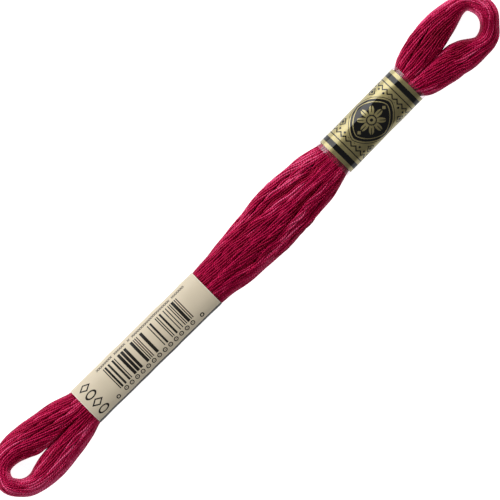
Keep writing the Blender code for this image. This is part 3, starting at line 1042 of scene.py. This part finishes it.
def paper_print(paint, x, s):
    """Where the paper label is printed: rings and diamonds, bars, ticks, and beads between two rings."""
    across, up = abs(x - MARKS_X), s.repeated(MARKS_PITCH)
    ring = (across / 1.6).hypot((up - MARKS_PITCH / 4) / 0.86)
    diamond = across / 1.72 + abs(up + MARKS_PITCH / 4)
    marks = ring.near(0.86, 0.17).either(diamond.near(0.83, 0.19)).both(abs(s).under(MARKS_PITCH))

    # Bars of one to three modules at random, in three blocks.
    module = (x - BARS_X[0]).step(BAR_MODULE)
    bars = paint.white(module, 3.5).over(0.36).both(abs(module.repeated(4)).under(1.5))
    bars = bars.both(abs(abs(x - BARS_MIDDLE) - 4.3).over(0.42))
    bars = bars.both(s.between(*BARS_S)).both(x.between(*BARS_X))

    # Small rings in a row, about one in eight left out.
    dot = x.repeated(TICK_PITCH).hypot(s - TICKS_S)
    kept = paint.white(x.step(TICK_PITCH) + 0.5, 21.5).over(0.12)
    ticks = dot.near(0.27, 0.10).both(kept).both(x.between(*TICKS_X))

    beads = (x - 1.1).repeated(BEAD_PITCH).hypot(s - BEADS_S)
    beads = beads.near(0.50, 0.13).either(beads.under(0.12)).both(x.between(*BEADS_X))
    ends = (abs(x - BARS_MIDDLE) - 14.0).hypot(s + 4.0).near(0.45, 0.15)
    return marks.either(bars).either(ticks * 0.9).either(beads).either(ends)


def paper_material():
    paint = Paint("satin_paper")
    x, s = paint.uv("print")
    ink = paper_print(paint, x, s)
    grain = paint.noise(paint.vector(x, s, 0.0), scale=5.0, detail=4, roughness=0.6)
    cloud = paint.noise(paint.vector(x * 0.25, s * 0.12, 0.0))
    paper = paint.mix(grain * 0.5 + cloud * 0.5, PAPER_SHADE, PAPER_LIGHT)
    paper = paint.mix(abs(x).over(PAPER_CUT_X), paper, PAPER_EDGE)
    panel = s.under(PANEL_S)
    dark = paint.mix(grain, PANEL_SHADE, PANEL_LIGHT)
    dark = paint.mix(s.between(*PANEL_BORDER_S), dark, PANEL_BORDER)
    colour = paint.mix(panel, paper, dark)
    colour = paint.mix(ink.outside(panel), colour, PAPER_INK)
    paint.bump(grain, 0.000012, 0.6)
    paint.set(Base_Color=colour, Roughness=0.36, Specular_IOR_Level=0.25)
    return paint.material


def film_print(x, s, around):
    """Where the film is printed black on gold: end stripes, zigzag borders and a lozenge with a rosette."""
    x = x - FILM_PRINT_MIDDLE
    far = abs(x)
    stripes = far.between(*STRIPES[0]).either(far.between(*STRIPES[1]))
    s = s.repeated(around / 2)
    lozenge = (far / LOZENGE[0]) ** LOZENGE_POWER + (abs(s) / LOZENGE[1]) ** LOZENGE_POWER
    lozenge = lozenge ** (1 / LOZENGE_POWER)
    black = lozenge.under(0.94).outside(lozenge.between(0.79, 0.83))
    rim = lozenge.between(1.0, 1.03)
    # A rosette of eight veined petals, with a small diamond beyond it on each side.
    radius = x.hypot(s)
    angle = s.math("ARCTAN2", x)
    petals = abs((angle * 4).math("COSINE")) ** 0.7
    veins = abs((angle * 4).sine()).under(0.16).both(radius.over(1.9))
    rosette = radius.under(petals * 2.8 + 0.75).outside(veins).outside(radius.between(1.0, 1.3))
    rosette = rosette.outside(radius.under(0.4)).both(radius.under(3.7))
    rosette = rosette.either((abs(far - 4.25) + abs(s)).under(0.55))
    zigzag = far - ZIGZAG_X - abs(s.repeated(ZIGZAG_PITCH)) * 0.9 + 0.38
    dots = (far - 6.6) ** 2 + (s - ZIGZAG_PITCH / 2).repeated(ZIGZAG_PITCH) ** 2
    zigzag = abs(zigzag).under(0.21).either(dots.under(0.085))
    zigzag = zigzag.outside(lozenge.under(1.08))
    diamond = abs(far - 5.0) + abs(abs(s) - 5.2)
    corners = diamond.under(1.25).outside(diamond.between(0.55, 0.85)).both(lozenge.over(1.12))
    return black.outside(rosette).either(stripes).either(rim).either(zigzag).either(corners)


def film_material():
    paint = Paint("printed_film")
    x, s = paint.uv("print")
    ink = film_print(x, s, outline_of_band()[1][-1] * 1000)
    streaks = paint.noise(paint.vector(x * 0.5, s * 3.0, 0.0), detail=3)
    gold = paint.mix(streaks, GOLD_SHADE, GOLD_LIGHT)
    paint.set(Base_Color=paint.mix(ink, gold, FILM_BLACK), Metallic=ink * -0.9 + 0.9)
    paint.bump(streaks, 0.00001, 0.5)
    paint.set(Roughness=0.38, Specular_IOR_Level=0.0, Coat_Weight=1.0, Coat_Roughness=0.03, Coat_IOR=1.6)
    return paint.material


def clear_film_material():
    """See-through film: its gloss over what lies behind it."""
    paint = Paint("clear_film")
    paint.set(Base_Color=(1.0, 0.95, 0.97), Metallic=1.0, Roughness=0.18)
    clear = paint.node("BsdfTransparent")
    clear.inputs["Color"].default_value = (0.98, 0.96, 0.97, 1)
    edge_on = paint.node("LayerWeight")
    edge_on.inputs["Blend"].default_value = 0.5
    share = paint.number(edge_on.outputs["Facing"]) ** 5 * 0.70 + 0.055
    mix = paint.node("MixShader")
    paint.link(share, mix.inputs[0])
    paint.link(clear.outputs[0], mix.inputs[1])
    paint.link(paint.shader.outputs[0], mix.inputs[2])
    paint.link(mix.outputs[0], paint.tree.nodes["Material Output"].inputs["Surface"])
    return paint.material


# ---- Camera, floor and light ----

CAMERA_DISTANCE = 1.8
FRAME_WIDTH = 0.120
SENSOR = 36.0
VIEW_CENTRE = (-0.0002, -0.00128, 0.0040)
VIEW_TURN = -45.115

# name, direction from the skein as azimuth and angle off the vertical, width, height, and radiance
SOFTBOXES = (
    ("key", 90, 60, 2.9, 1.84, 2.2),
    ("right_fill", 0, 50, 1.3, 1.3, 3.0),
    ("left_fill", 180, 50, 1.3, 1.3, 3.0),
)
SOFTBOX_DISTANCE = 2.2
# The light of the sky, and of the glow from below: where it sets in and how strong it is, each with its
# change towards the key light.
SKY = 0.10
GLOW_EDGE = (0.2, 0.3)
GLOW_STEEPNESS = -6.0
GLOW = (0.80, 0.30)
FLOOR_SIZE = 16
FLOOR_HEIGHT = -0.00002
FLOOR_LIGHT = 0.92
FLOOR_COLOUR = (0.9, 0.9, 0.9)
DOME_RADIUS = 7.9


def make_camera():
    camera = bpy.data.cameras.new("camera")
    camera.sensor_width = SENSOR
    camera.lens = SENSOR * CAMERA_DISTANCE / FRAME_WIDTH
    camera.clip_start = 0.01
    obj = add_object("camera", camera)
    x, y, z = VIEW_CENTRE
    obj.location = (x, y, z + CAMERA_DISTANCE)
    obj.rotation_euler = (0, 0, math.radians(VIEW_TURN))
    bpy.context.scene.camera = obj


def make_backdrop(obj, name, emission, colour):
    """A floor or dome that the camera sees and that takes shadows, but that throws no light on the skein."""
    obj.name = name
    paint = Paint(name)
    paint.set(Base_Color=colour, Emission_Color=(1.0, 1.0, 1.0), Emission_Strength=emission,
              Roughness=0.9, Specular_IOR_Level=0.0)
    obj.data.materials.append(paint.material)
    obj.visible_diffuse = obj.visible_glossy = False


def make_world():
    """A dim sky, and the glow of the floor from below, stronger on the side of the key light."""
    world = bpy.data.worlds.new("studio")
    bpy.context.scene.world = world
    world.use_nodes = True
    tree = world.node_tree
    place = tree.nodes.new("ShaderNodeTexCoord")
    split = tree.nodes.new("ShaderNodeSeparateXYZ")
    tree.links.new(place.outputs["Generated"], split.inputs[0])
    across, up = Number(tree, split.outputs[1]), Number(tree, split.outputs[2])
    below = up * GLOW_STEEPNESS + across * GLOW_EDGE[1] + GLOW_EDGE[0]
    below = below.math("MAXIMUM", 0.0).math("MINIMUM", 1.0)
    glow = below * (across * GLOW[1] + GLOW[0]) + SKY
    background = tree.nodes["Background"]
    background.inputs["Color"].default_value = (1, 1, 1, 1)
    tree.links.new(glow.socket, background.inputs["Strength"])


def make_stage():
    bpy.ops.mesh.primitive_plane_add(size=FLOOR_SIZE, location=(0, 0, FLOOR_HEIGHT))
    make_backdrop(bpy.context.object, "floor", FLOOR_LIGHT, FLOOR_COLOUR)
    bpy.ops.mesh.primitive_uv_sphere_add(segments=48, ring_count=24, radius=DOME_RADIUS)
    dome = bpy.context.object
    make_backdrop(dome, "backdrop", 1.0, (0.0, 0.0, 0.0))
    dome.visible_shadow = False
    make_world()
    for name, azimuth, tilt, width, height, radiance in SOFTBOXES:
        light = bpy.data.lights.new(name, "AREA")
        light.shape = "RECTANGLE"
        light.size, light.size_y = width, height
        light.energy = radiance * math.pi * width * height
        obj = add_object(name, light)
        azimuth, tilt = math.radians(azimuth), math.radians(tilt)
        aside, up = SOFTBOX_DISTANCE * math.sin(tilt), SOFTBOX_DISTANCE * math.cos(tilt)
        obj.location = (aside * math.cos(azimuth), aside * math.sin(azimuth), up)
        obj.rotation_euler = (tilt, 0, azimuth + math.pi / 2)
    bpy.context.scene.view_settings.view_transform = "Standard"


make_camera()
make_stage()
make_floss(floss_material())
make_paper_band()
make_film_band()
